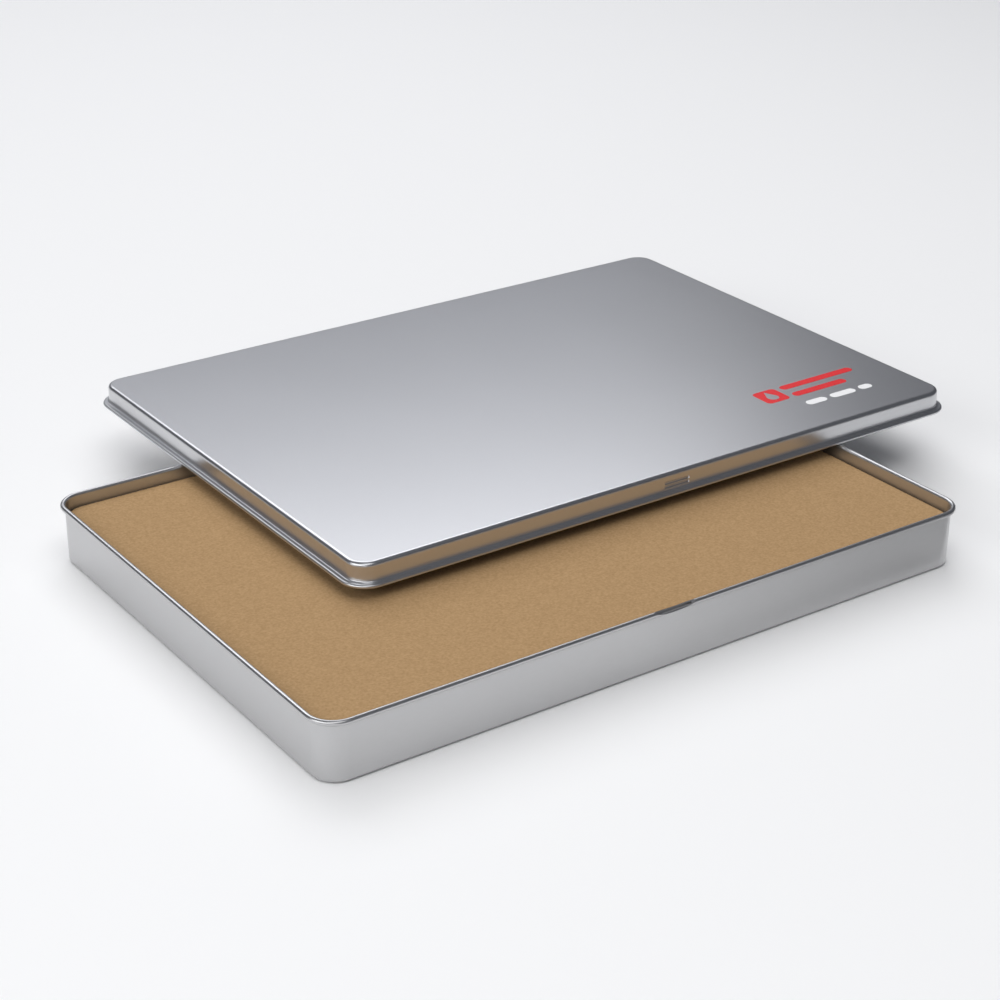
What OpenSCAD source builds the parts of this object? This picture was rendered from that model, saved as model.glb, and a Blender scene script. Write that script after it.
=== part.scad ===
// Flat ink pad in a tinplate tin: a tray holding a cloth-covered felt pad, and a
// loose lid that slips over the tray's rim, drawn off the tray and lying set back on it.
// The origin is the middle of the tray's underside, with +Z up and +X along the length.

/* [Tray] */
// Outer length of the tray's wall
tray_l = 213; // [150:1:260]
// Outer width of the tray's wall
tray_w = 151; // [100:1:200]
// Height from the table to the top of the rim
tray_h = 18.5; // [17:0.5:26]
// Radius of the tray's upright corners
tray_r = 7; // [6:0.5:12]
// Outer radius of the edge between the floor and the wall
foot_r = 1.5; // [1:0.25:2.5]
// Outside diameter of the hollow curl along the rim
curl_d = 1.6; // [1.4:0.1:2]

/* [Lid] */
// Height of the lid from its hem to its top
lid_h = 6.9; // [6.5:0.1:8]
// Radius of the lid's upright corners
lid_r = 6; // [6:0.25:9]
// Outer radius of the edge between the top panel and the skirt
crown_r = 1.2; // [0.8:0.1:1.5]
// How far the rolled hem stands out from the skirt
hem_out = 1.9; // [1.7:0.1:2.4]
// Outside diameter of the roll at the end of the hem
hem_d = 1.2; // [1:0.1:1.4]
// Gap on each side between the tray's curl and the lid's skirt
lid_gap = 0.38; // [0.36:0.02:0.6]
// How far the lid is drawn to the right of its closed place
lid_set_x = 44; // [0:1:80]
// How far the lid is drawn behind its closed place
lid_set_y = 55; // [0:1:70]
// Gap between the tray's rim and the lid's hem as drawn
lid_rise = 0.3; // [0.1:0.1:60]

/* [Sheet metal] */
// Thickness of the tinplate of both shells
sheet_t = 0.3; // [0.2:0.05:0.35]

/* [Snap] */
// Width of the scooped notch in the tray's rim
notch_w = 14; // [10:1:20]
// Depth of the notch at the wall
notch_depth = 0.5; // [0.4:0.1:0.8]
// Outward fall of the notch's bottom, in degrees
notch_tilt = 28; // [15:1:35]
// Length of the two short ribs pressed into the lid's skirt
rib_l = 9.4; // [6:0.2:14]
// Depth of the pressed ribs
rib_depth = 0.28; // [0.15:0.01:0.3]
// Height between the two ribs
rib_pitch = 1.2; // [1.1:0.1:1.4]

/* [Pad] */
// Drop from the rim to the pad's surface
pad_drop = 3.5; // [2.5:0.5:5]
// Gap between the pad's side and the tray's wall
pad_gap = 0.4; // [0.3:0.1:1]
// Thickness of the cover cloth
cloth_t = 0.6; // [0.4:0.1:1]
// Width of cloth turned in under the backing board
turn_in = 12; // [8:1:20]
// Thickness of the fine felt under the cloth
surface_felt_t = 3; // [2:0.5:4]
// Thickness of the backing board
board_t = 2; // [1.5:0.5:3]
// Thickness of the mounting tape under the board
tape_t = 0.8; // [0.8:0.1:1]
// Width of each strip of mounting tape
tape_w = 25; // [15:1:40]

/* [Print] */
// Thickness of the printed ink on the lid
print_t = 0.04; // [0.02:0.01:0.1]
// Height of the red badge
badge_h = 9; // [6:0.5:12]
// Distance from the lid's right side to the print's right end
print_in_x = 13; // [10:1:30]
// Distance from the lid's front side to the bottom of the red badge
print_in_y = 22; // [20:1:40]

/* [Hidden] */
$fn = 64;

curl_x = curl_d / 2 - sheet_t;                    // curl's centre, outward from the wall
curl_z = tray_h - curl_d / 2;                     // curl's centre above the table
curl_end = 250;                                   // angle at which the curl's edge stops
curl_out = curl_d - sheet_t;                      // how far the curl stands out
fit_out = curl_out + lid_gap + sheet_t;           // tray wall to lid skirt, outside to outside
lid_l = tray_l + 2 * fit_out;
lid_w = tray_w + 2 * fit_out;
lid_z = tray_h + lid_rise;                        // hem's lowest line as drawn
flare_r = hem_d / 2;                              // hollow bend from the skirt into the hem
flare_z = hem_d + flare_r;                        // where that bend starts
roll_x = hem_out - hem_d / 2;                     // centre of the hem's roll
roll_end = 225;                                   // angle at which the roll's edge stops
notch_slope = tan(notch_tilt);
notch_mid = notch_depth + (curl_x + sheet_t / 2) * notch_slope;
notch_r = (pow(notch_w / 2, 2) + pow(notch_mid, 2)) / (2 * notch_mid);
rib_r = 0.55;                                     // radius of the rib's pressed groove
rib_top = 3.1;                                    // first rib's depth below the lid's top
pad_l = tray_l - 2 * (sheet_t + pad_gap);
pad_w = tray_w - 2 * (sheet_t + pad_gap);
pad_r = tray_r - sheet_t - pad_gap;
pad_top = tray_h - pad_drop;
board_z = sheet_t + tape_t;
cloth_z = board_z - cloth_t;
core_l = pad_l - 2 * cloth_t;
core_w = pad_w - 2 * cloth_t;
core_r = pad_r - cloth_t;
surface_z = pad_top - cloth_t - surface_felt_t;
reservoir_z = board_z + board_t;
print_z = lid_z + lid_h;
print_right = lid_l / 2 - print_in_x;
print_base = -lid_w / 2 + print_in_y;
bar_h = badge_h / 3;

// Outline of a rounded rectangle about the origin
module rounded_rect(l, w, r) {
    square([l - 2 * r, w], center = true);
    square([l, w - 2 * r], center = true);
    for (x = [-1, 1], y = [-1, 1])
        translate([x * (l / 2 - r), y * (w / 2 - r)]) circle(r = r);
}

module rounded_slab(l, w, r, z, h) {
    translate([0, 0, z]) linear_extrude(h) rounded_rect(l, w, r);
}

// Bar with round ends, about its own middle
module rounded_bar(l, h) {
    square([l - h, h], center = true);
    for (x = [-1, 1]) translate([x * (l - h) / 2, 0]) circle(d = h);
}

module ring(r_out, r_in) {
    difference() {
        circle(r = r_out);
        circle(r = r_in);
    }
}

// Moves what belongs to the lid from over the tray to where the lid is drawn
module set_back() {
    translate([lid_set_x, lid_set_y, 0]) children();
}

// Quarter of a ring, in the quadrant that sx and sy point to
module quarter_ring(r_out, r_in, sx, sy) {
    intersection() {
        ring(r_out, r_in);
        translate([sx > 0 ? 0 : -r_out, sy > 0 ? 0 : -r_out]) square(r_out);
    }
}

// Ring with the wedge between two angles taken out
module open_ring(r_out, r_in, from, to) {
    reach = 2 * r_out;
    mid = (from + to) / 2;
    difference() {
        ring(r_out, r_in);
        polygon([[0, 0], for (a = [from, mid, to]) reach * [cos(a), sin(a)]]);
    }
}

// Carries a section round a rounded rectangle: the section's x is the distance
// outward from the rectangle's side, and its y is the height.
module swept(l, w, r) {
    for (side = [0, 180]) rotate(side) {
        translate([l / 2 - r, -w / 2, 0]) rotate([90, 0, -90])
            linear_extrude(l - 2 * r) children();
        translate([l / 2, w / 2 - r, 0]) rotate([90, 0, 0])
            linear_extrude(w - 2 * r) children();
        translate([l / 2 - r, w / 2 - r, 0]) rotate_extrude(angle = 90)
            translate([r, 0]) children();
        translate([-l / 2 + r, w / 2 - r, 0]) rotate(90) rotate_extrude(angle = 90)
            translate([r, 0]) children();
    }
}

// Floor edge, foot radius, wall and outward curl of the tray
module tray_section() {
    translate([-tray_r, 0]) square([tray_r - foot_r, sheet_t]);
    translate([-foot_r, foot_r]) quarter_ring(foot_r, foot_r - sheet_t, 1, -1);
    translate([-sheet_t, foot_r]) square([sheet_t, curl_z - foot_r]);
    translate([curl_x, curl_z]) open_ring(curl_d / 2, curl_d / 2 - sheet_t, 180, curl_end);
}

// Scoop that opens the hollow curl at the middle of the front
module notch_cut() {
    translate([0, -tray_w / 2 + sheet_t / 2, tray_h - notch_depth])
        rotate([90 + notch_tilt, 0, 0])
            translate([0, notch_r, 0]) cylinder(r = notch_r, h = 4 * curl_d, center = true, $fn = 180);
}

module tray() color([0.72, 0.72, 0.73]) difference() {
    union() {
        swept(tray_l, tray_w, tray_r) tray_section();
        translate([-tray_l / 2 + tray_r, -tray_w / 2 + tray_r, 0])
            cube([tray_l - 2 * tray_r, tray_w - 2 * tray_r, sheet_t]);
    }
    notch_cut();
}

// Panel edge, crown radius, skirt, hollow flare and rolled hem of the lid
module lid_section() {
    translate([-lid_r, lid_h - sheet_t]) square([lid_r - crown_r, sheet_t]);
    translate([-crown_r, lid_h - crown_r]) quarter_ring(crown_r, crown_r - sheet_t, 1, 1);
    translate([-sheet_t, flare_z]) square([sheet_t, lid_h - crown_r - flare_z]);
    translate([flare_r, flare_z]) quarter_ring(flare_r + sheet_t, flare_r, -1, -1);
    translate([flare_r, hem_d - sheet_t]) square([roll_x - flare_r, sheet_t]);
    translate([roll_x, hem_d / 2]) open_ring(hem_d / 2, hem_d / 2 - sheet_t, 90, roll_end);
}

// One rib's form: a round-ended bar of radius r lying along the skirt
module rib_form(r) {
    half = rib_l / 2 - rib_r;
    rotate([0, 90, 0]) rotate_extrude() intersection() {
        union() {
            square([2 * r, 2 * half], center = true);
            for (y = [-half, half]) translate([0, y]) circle(r = r);
        }
        translate([0, -rib_l]) square([r, 2 * rib_l]);
    }
}

module at_ribs() {
    for (i = [0, 1])
        translate([0, -lid_w / 2 - rib_r + rib_depth, lid_z + lid_h - rib_top - i * rib_pitch])
            children();
}

module lid() color([0.66, 0.67, 0.68]) difference() {
    union() {
        translate([0, 0, lid_z]) swept(lid_l, lid_w, lid_r) lid_section();
        translate([-lid_l / 2 + lid_r, -lid_w / 2 + lid_r, lid_z + lid_h - sheet_t])
            cube([lid_l - 2 * lid_r, lid_w - 2 * lid_r, sheet_t]);
        intersection() {
            at_ribs() rib_form(rib_r + sheet_t);
            translate([-rib_l, -lid_w / 2 + sheet_t / 2, lid_z]) cube([2 * rib_l, sheet_t * 3, lid_h]);
        }
    }
    at_ribs() rib_form(rib_r);
}

// Cover cloth: over the felts, down their sides and turned in under the board
module pad_cloth() color([0.66, 0.54, 0.4]) difference() {
    rounded_slab(pad_l, pad_w, pad_r, cloth_z, pad_top - cloth_z);
    rounded_slab(core_l, core_w, core_r, board_z, pad_top - cloth_t - board_z);
    rounded_slab(pad_l - 2 * turn_in, pad_w - 2 * turn_in, 1, 0, board_z + cloth_t);
}

module surface_felt() color([0.86, 0.83, 0.76])
    rounded_slab(core_l, core_w, core_r, surface_z, surface_felt_t);

module reservoir_felt() color([0.75, 0.72, 0.66])
    rounded_slab(core_l, core_w, core_r, reservoir_z, surface_z - reservoir_z);

module backing_board() color([0.45, 0.34, 0.24])
    rounded_slab(core_l, core_w, core_r, board_z, board_t);

// Two strips of foam tape between the tray's floor and the board
module mounting_tape() color([0.9, 0.9, 0.88])
    for (x = [-1, 1])
        translate([x * tray_l / 4 - tape_w / 2, -tray_w / 3, sheet_t]) cube([tape_w, tray_w * 2 / 3, tape_t]);

// Plain printed badge: a stamped square with an ink drop, and two bars beside it
module lid_badge() color([0.8, 0.05, 0.05])
    translate([0, 0, print_z]) linear_extrude(print_t)
        translate([print_right, print_base]) {
            translate([-41 + badge_h / 2, badge_h / 2]) difference() {
                rounded_rect(badge_h, badge_h, 1.5);
                translate([0, -0.8]) circle(r = 2);
                polygon([[-1.84, 0], [1.84, 0], [0, 3.6]]);
            }
            translate([-15, badge_h - bar_h / 2]) rounded_bar(30, bar_h);
            translate([-19, bar_h / 2]) rounded_bar(22, bar_h);
        }

// Row of three short white bars under the badge
module lid_legend() color([0.95, 0.95, 0.95])
    translate([0, 0, print_z]) linear_extrude(print_t)
        for (bar = [[-27, 8], [-16, 10], [-6.5, 5]])
            translate([print_right + bar[0], print_base - 6]) rounded_bar(bar[1], bar_h);

tray();
set_back() lid();
pad_cloth();
surface_felt();
reservoir_felt();
backing_board();
mounting_tape();
set_back() lid_badge();
set_back() lid_legend();
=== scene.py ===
"""Flat ink pad in a tinplate tin, with its loose lid lying set back on the tray's rim.

The tray, the lid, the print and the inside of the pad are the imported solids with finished
materials. The cover of the pad is modelled here, over the felts.
"""
import math

import bmesh
import bpy
from mathutils import Matrix, Vector


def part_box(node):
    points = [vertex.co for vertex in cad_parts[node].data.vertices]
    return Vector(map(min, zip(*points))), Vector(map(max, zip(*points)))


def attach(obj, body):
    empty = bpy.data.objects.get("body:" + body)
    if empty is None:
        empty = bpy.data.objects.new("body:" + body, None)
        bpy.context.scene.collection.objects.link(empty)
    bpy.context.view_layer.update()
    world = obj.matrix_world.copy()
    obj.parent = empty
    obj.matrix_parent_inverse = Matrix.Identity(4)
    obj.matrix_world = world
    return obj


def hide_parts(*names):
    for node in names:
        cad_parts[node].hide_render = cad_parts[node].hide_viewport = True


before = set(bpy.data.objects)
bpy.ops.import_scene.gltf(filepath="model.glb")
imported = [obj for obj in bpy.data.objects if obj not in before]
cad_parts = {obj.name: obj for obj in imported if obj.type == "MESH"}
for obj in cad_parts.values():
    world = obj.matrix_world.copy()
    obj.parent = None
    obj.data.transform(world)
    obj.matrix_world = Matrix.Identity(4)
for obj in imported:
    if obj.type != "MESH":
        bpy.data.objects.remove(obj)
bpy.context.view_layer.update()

# ---------------------------------------------------------------- tray
# One pan of 0.3 mm tinplate, pressed, curled outward along its rim and scooped at the
# front for a fingernail. It is satin, with the fine grain of the rolled sheet.
rolled_grain = bpy.data.node_groups.new("rolled_grain", "ShaderNodeTree")
for socket, way, kind in (
        ("Colour", "INPUT", "NodeSocketColor"),
        ("Roughness", "INPUT", "NodeSocketFloat"),
        ("Grain", "INPUT", "NodeSocketFloat"),
        ("Handling", "INPUT", "NodeSocketFloat"),
        ("Colour", "OUTPUT", "NodeSocketColor"),
        ("Roughness", "OUTPUT", "NodeSocketFloat")):
    rolled_grain.interface.new_socket(socket, in_out=way, socket_type=kind)
grain_nodes, grain_links = rolled_grain.nodes, rolled_grain.links
grain_in = grain_nodes.new("NodeGroupInput")
grain_out = grain_nodes.new("NodeGroupOutput")
sheet_place = grain_nodes.new("ShaderNodeTexCoord")
along_sheet = grain_nodes.new("ShaderNodeMapping")
grain_stretch = 0.3
along_sheet.inputs["Scale"].default_value = (grain_stretch, 1.0, 1.0)
grain_links.new(sheet_place.outputs["Object"], along_sheet.inputs["Vector"])


def uneven(source, scale, detail, strength):
    """Noise about zero, as strong as the group's input named by strength says."""
    noise = grain_nodes.new("ShaderNodeTexNoise")
    noise.inputs["Scale"].default_value = scale
    noise.inputs["Detail"].default_value = detail
    grain_links.new(source, noise.inputs["Vector"])
    centred = grain_nodes.new("ShaderNodeMath")
    centred.operation = "SUBTRACT"
    centred.inputs[1].default_value = 0.5
    grain_links.new(noise.outputs["Fac"], centred.inputs[0])
    scaled = grain_nodes.new("ShaderNodeMath")
    scaled.operation = "MULTIPLY"
    grain_links.new(centred.outputs[0], scaled.inputs[0])
    grain_links.new(grain_in.outputs[strength], scaled.inputs[1])
    return scaled.outputs[0]


grain_scale = 1500
handling_scale = 28
grain = uneven(along_sheet.outputs["Vector"], grain_scale, 3, "Grain")
handling = uneven(sheet_place.outputs["Object"], handling_scale, 5, "Handling")
grain_and_marks = grain_nodes.new("ShaderNodeMath")
grain_and_marks.operation = "ADD"
grain_links.new(grain, grain_and_marks.inputs[0])
grain_links.new(handling, grain_and_marks.inputs[1])
uneven_gloss = grain_nodes.new("ShaderNodeMath")
uneven_gloss.operation = "ADD"
grain_links.new(grain_in.outputs["Roughness"], uneven_gloss.inputs[0])
grain_links.new(grain_and_marks.outputs[0], uneven_gloss.inputs[1])
grain_links.new(uneven_gloss.outputs[0], grain_out.inputs["Roughness"])
shade = grain_nodes.new("ShaderNodeMath")
shade.operation = "ADD"
shade.inputs[1].default_value = 1.0
grain_links.new(grain_and_marks.outputs[0], shade.inputs[0])
uneven_colour = grain_nodes.new("ShaderNodeVectorMath")
uneven_colour.operation = "SCALE"
grain_links.new(grain_in.outputs["Colour"], uneven_colour.inputs[0])
grain_links.new(shade.outputs[0], uneven_colour.inputs["Scale"])
grain_links.new(uneven_colour.outputs[0], grain_out.inputs["Colour"])


def tinplate(name, colour, roughness, grain, handling):
    """Satin tinplate, a little less than all metal because of its thin clear lacquer."""
    material = bpy.data.materials.new(name)
    material.use_nodes = True
    surface = material.node_tree.nodes["Principled BSDF"]
    metal_share = 0.92
    surface.inputs["Metallic"].default_value = metal_share
    grained = material.node_tree.nodes.new("ShaderNodeGroup")
    grained.node_tree = rolled_grain
    grained.inputs["Colour"].default_value = (*colour, 1)
    grained.inputs["Roughness"].default_value = roughness
    grained.inputs["Grain"].default_value = grain
    grained.inputs["Handling"].default_value = handling
    material.node_tree.links.new(grained.outputs["Colour"], surface.inputs["Base Color"])
    material.node_tree.links.new(grained.outputs["Roughness"], surface.inputs["Roughness"])
    return material


def finish(node, material):
    """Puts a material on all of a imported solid."""
    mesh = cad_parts[node].data
    mesh.materials.clear()
    mesh.materials.append(material)


finish("tray", tinplate("tray_tinplate", (0.56, 0.56, 0.565), 0.31, 0.04, 0.02))


# ---------------------------------------------------------------- mounting tape
# Two strips of white closed-cell foam tape that hold the pad's board to the floor of
# the tray. They are hidden under the board.
def plain(name, colour, roughness):
    """One even matte or satin finish."""
    material = bpy.data.materials.new(name)
    material.use_nodes = True
    surface = material.node_tree.nodes["Principled BSDF"]
    surface.inputs["Base Color"].default_value = (*colour, 1)
    surface.inputs["Roughness"].default_value = roughness
    return material


finish("mounting_tape", plain("foam_tape_white", (0.80, 0.80, 0.78), 0.8))


# ---------------------------------------------------------------- backing board
# A 2 mm sheet of brown hardboard, with rounded corners, that the felts lie on and that
# the cover is turned in under and glued to.
finish("backing_board", plain("hardboard_brown", (0.24, 0.15, 0.09), 0.7))


# ---------------------------------------------------------------- felts
# A thick grey-white felt that holds the ink, and over it a fine pressed felt that gives
# the flat, springy stamping face. Both are cut to the board's outline.
def fibrous(name, dark, light, roughness, fibre_scale, detail):
    """Matte and shaded unevenly by its fibres. Gives the material and its fibre noise."""
    material = plain(name, light, roughness)
    nodes, links = material.node_tree.nodes, material.node_tree.links
    place = nodes.new("ShaderNodeTexCoord")
    fibres = nodes.new("ShaderNodeTexNoise")
    fibres.inputs["Scale"].default_value = fibre_scale
    fibres.inputs["Detail"].default_value = detail
    shades = nodes.new("ShaderNodeValToRGB")
    for stop, position, colour in zip(shades.color_ramp.elements, (0.3, 0.7), (dark, light)):
        stop.position = position
        stop.color = (*colour, 1)
    links.new(place.outputs["Object"], fibres.inputs["Vector"])
    links.new(fibres.outputs["Fac"], shades.inputs["Fac"])
    links.new(shades.outputs["Color"], nodes["Principled BSDF"].inputs["Base Color"])
    return material, fibres


def felt(name, colour, fibre_scale):
    """Pressed wool, whose hollows between the fibres are a little darker."""
    hollow_shade = 0.82
    hollow = [hollow_shade * part for part in colour]
    material, fibres = fibrous(name, hollow, colour, 0.95, fibre_scale, 6)
    return material


finish("reservoir_felt", felt("coarse_felt", (0.58, 0.54, 0.47), 500))
finish("surface_felt", felt("pressed_felt", (0.72, 0.68, 0.60), 900))


# ---------------------------------------------------------------- cover cloth
# Close-woven tan cotton, drawn tight over the felts, down their sides and in under the
# board. The felt's edge rolls it over, and it crowns slightly towards its middle.
upright_radius = 0.0063
edge_roll = 0.0009
crown_steps = ((0.0006, 0.00016), (0.0010, 0.00011), (0.0015, 0.00006))
crown_rise = sum(rise for step_in, rise in crown_steps)
low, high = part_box("pad_cloth")
edge_top = high.z - crown_rise
height_slack = edge_roll / 100
bpy.ops.object.select_all(action="DESELECT")
bpy.ops.mesh.primitive_cube_add(
    size=1,
    location=((low.x + high.x) / 2, (low.y + high.y) / 2, (low.z + edge_top) / 2),
    scale=(high.x - low.x, high.y - low.y, edge_top - low.z))
cover = bpy.context.object
cover.name = "cover_cloth_piece"
bpy.ops.object.transform_apply(location=True, rotation=True, scale=True)


def choose(kind, wanted):
    """Selects the cover's edges or faces for which wanted is true, and nothing else."""
    bpy.ops.mesh.select_mode(type=kind)
    bpy.ops.mesh.select_all(action="DESELECT")
    shape = bmesh.from_edit_mesh(cover.data)
    for part in {"EDGE": shape.edges, "FACE": shape.faces}[kind]:
        part.select_set(wanted(part))
    bmesh.update_edit_mesh(cover.data)


def is_upright(edge):
    """An edge of the block's four corners."""
    return abs(edge.verts[0].co.z - edge.verts[1].co.z) > edge_roll


def is_on_top(part):
    """An edge or a face that lies in the block's top."""
    return all(vert.co.z > edge_top - height_slack for vert in part.verts)


bpy.ops.object.mode_set(mode="EDIT")
choose("EDGE", is_upright)
bpy.ops.mesh.bevel(offset=upright_radius, segments=10, affect="EDGES")
choose("EDGE", is_on_top)
bpy.ops.mesh.bevel(offset=edge_roll, segments=5, affect="EDGES")
choose("FACE", is_on_top)
for step_in, rise in crown_steps:
    bpy.ops.mesh.inset(thickness=step_in, depth=rise)
bpy.ops.object.mode_set(mode="OBJECT")
bpy.ops.object.shade_smooth_by_angle(angle=math.radians(35))

cotton, threads = fibrous(
    "tan_cotton", (0.355, 0.222, 0.105), (0.455, 0.293, 0.148), 0.92, 1500, 4)
cotton_surface = cotton.node_tree.nodes["Principled BSDF"]
cotton_surface.inputs["Specular IOR Level"].default_value = 0.2
nap = cotton.node_tree.nodes.new("ShaderNodeBump")
nap.inputs["Strength"].default_value = 0.4
nap.inputs["Distance"].default_value = 0.0001
cotton.node_tree.links.new(threads.outputs["Fac"], nap.inputs["Height"])
cotton.node_tree.links.new(nap.outputs["Normal"], cotton_surface.inputs["Normal"])
cover.data.materials.append(cotton)

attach(cover, "tin")
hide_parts("pad_cloth")


# ---------------------------------------------------------------- lid
# The matching lid of the same sheet, with a rolled hem and two short ribs pressed into
# its front skirt, which snap under the tray's curl. It is a little glossier than the tray.
finish("lid", tinplate("lid_tinplate", (0.62, 0.625, 0.64), 0.29, 0.015, 0.015))


# ---------------------------------------------------------------- print
# A red badge and a row of white bars, screen printed on the lid's right front corner
# in an opaque satin ink.
finish("lid_badge", plain("red_ink", (0.72, 0.006, 0.010), 0.45))
finish("lid_legend", plain("white_ink", (0.90, 0.90, 0.90), 0.45))


# ---------------------------------------------------------------- table
# A wide sheet of white paper that the tin stands on. To the right lies a faint black sheet
# of painted shade, soft along its left edge, that only the metal sees: it paints the studio
# darker on that side in the metal's reflections.
bpy.ops.object.select_all(action="DESELECT")
bpy.ops.mesh.primitive_plane_add(size=12, location=(0, 0, -0.00005))
table = bpy.context.object
table.name = "table_paper"
paper = plain("white_paper", (0.90, 0.90, 0.90), 0.9)
paper.node_tree.nodes["Principled BSDF"].inputs["Specular IOR Level"].default_value = 0.1
table.data.materials.append(paper)

bpy.ops.object.select_all(action="DESELECT")
bpy.ops.mesh.primitive_plane_add(size=1, location=(0.30, -0.23, 0))
shade_sheet = bpy.context.object
shade_sheet.name = "painted_shade_sheet"
shade_sheet_width = 0.60
shade_sheet_depth = 0.30
shade_sheet.scale = (shade_sheet_width, shade_sheet_depth, 1)
bpy.ops.object.transform_apply(location=True, rotation=True, scale=True)
shade_sheet.visible_camera = False
shade_sheet.visible_diffuse = False
shade_sheet.visible_shadow = False
# Black, fading in from its left edge: painted shade, seen only in the metal's reflections.
reflection_shade = plain("painted_reflection_shade", (0.02, 0.02, 0.02), 1.0)
reflection_shade_nodes, reflection_shade_links = reflection_shade.node_tree.nodes, reflection_shade.node_tree.links
shade_sheet_place = reflection_shade_nodes.new("ShaderNodeTexCoord")
shade_sheet_axes = reflection_shade_nodes.new("ShaderNodeSeparateXYZ")
shade_sheet_fade = reflection_shade_nodes.new("ShaderNodeMapRange")
shade_fade_width = 0.15
shade_strength = 0.55
shade_sheet_fade.inputs["From Max"].default_value = shade_fade_width
shade_sheet_fade.inputs["To Max"].default_value = shade_strength
reflection_shade_links.new(shade_sheet_place.outputs["Object"], shade_sheet_axes.inputs[0])
reflection_shade_links.new(shade_sheet_axes.outputs["X"], shade_sheet_fade.inputs["Value"])
reflection_shade_links.new(shade_sheet_fade.outputs["Result"], reflection_shade_nodes["Principled BSDF"].inputs["Alpha"])
shade_sheet.data.materials.append(reflection_shade)


# ---------------------------------------------------------------- lights
# Two softboxes behind the tin, whose lower edges shade the lid from light to dark, two at
# its left and two in front. Each is placed by its turn from the front (towards the right)
# and its height, and sized by the angles that it spans, all in degrees.
softbox_distance = 1.5
for name, turn, rise, span_across, span_up, radiance, tint in (
        ("back_main", 162, 44, 64, 28, 2.35, (0.99, 0.995, 1.02)),
        ("back_low", 164, 24, 50, 12, 0.18, (0.95, 0.98, 1.09)),
        ("left_side", -75, 31, 55, 20, 3.1, (1, 1, 1)),
        ("left_low", -95, 12, 30, 16, 1.35, (1, 1, 1)),
        ("front_high", -20, 58, 60, 26, 2.1, (1, 1, 1)),
        ("front_glint", -37, 20, 13, 26, 1.5, (1, 1, 1))):
    turn, rise = math.radians(turn), math.radians(rise)
    level = math.cos(rise)
    towards = Vector((math.sin(turn) * level, -math.cos(turn) * level, math.sin(rise)))
    lamp = bpy.data.lights.new(name, "AREA")
    lamp.shape = "RECTANGLE"
    lamp.size = 2 * softbox_distance * math.tan(math.radians(span_across / 2)) * level
    lamp.size_y = 2 * softbox_distance * math.tan(math.radians(span_up / 2))
    lamp.energy = radiance * math.pi * lamp.size * lamp.size_y
    lamp.color = tint
    softbox = bpy.data.objects.new(name, lamp)
    bpy.context.scene.collection.objects.link(softbox)
    softbox.location = towards * softbox_distance
    softbox.rotation_euler = towards.to_track_quat("Z", "Y").to_euler()
    softbox.visible_camera = False

# An overhead scrim, kept out of the metal's reflections, evens out the matte surfaces.
scrim_radiance = 1.25
scrim_side = 1.6
scrim_height = 1.2
scrim_lamp = bpy.data.lights.new("scrim", "AREA")
scrim_lamp.size = scrim_side
scrim_lamp.energy = scrim_radiance * math.pi * scrim_side ** 2
scrim = bpy.data.objects.new("scrim", scrim_lamp)
bpy.context.scene.collection.objects.link(scrim)
scrim.location = (0, 0, scrim_height)
scrim.visible_camera = False
scrim.visible_glossy = False

# The room is dim, and the backdrop is pale where the camera sees it.
room = bpy.data.worlds.new("room")
bpy.context.scene.world = room
room.use_nodes = True
room_nodes, room_links = room.node_tree.nodes, room.node_tree.links
dim_room = room_nodes["Background"]
dim_room.inputs["Color"].default_value = (0.85, 0.92, 1.15, 1)
dim_room.inputs["Strength"].default_value = 0.06
backdrop = room_nodes.new("ShaderNodeBackground")
backdrop.inputs["Color"].default_value = (0.95, 0.95, 0.95, 1)
seen = room_nodes.new("ShaderNodeLightPath")
room_mix = room_nodes.new("ShaderNodeMixShader")
room_links.new(seen.outputs["Is Camera Ray"], room_mix.inputs["Fac"])
room_links.new(dim_room.outputs["Background"], room_mix.inputs[1])
room_links.new(backdrop.outputs["Background"], room_mix.inputs[2])
room_links.new(room_mix.outputs["Shader"], room_nodes["World Output"].inputs["Surface"])


# ---------------------------------------------------------------- camera
# A short telephoto, 0.63 m off, that looks down on the front left corner of the tin and
# is rolled by a third of a degree.
camera_place = Vector((-0.3273, -0.4642, 0.2919))
camera_aim = Vector((-0.003, 0.0, 0.020))
camera_roll = math.radians(0.3)
camera_data = bpy.data.cameras.new("telephoto")
camera_data.sensor_width = 36.0
camera_data.lens = 78.7
camera_data.clip_start = 0.01
camera = bpy.data.objects.new("telephoto", camera_data)
bpy.context.scene.collection.objects.link(camera)
facing = (camera_aim - camera_place).to_track_quat("-Z", "Y").to_matrix()
rolled = (facing @ Matrix.Rotation(camera_roll, 3, "Z")).to_4x4()
camera.matrix_world = Matrix.Translation(camera_place) @ rolled
bpy.context.scene.camera = camera
bpy.context.scene.view_settings.view_transform = "Standard"
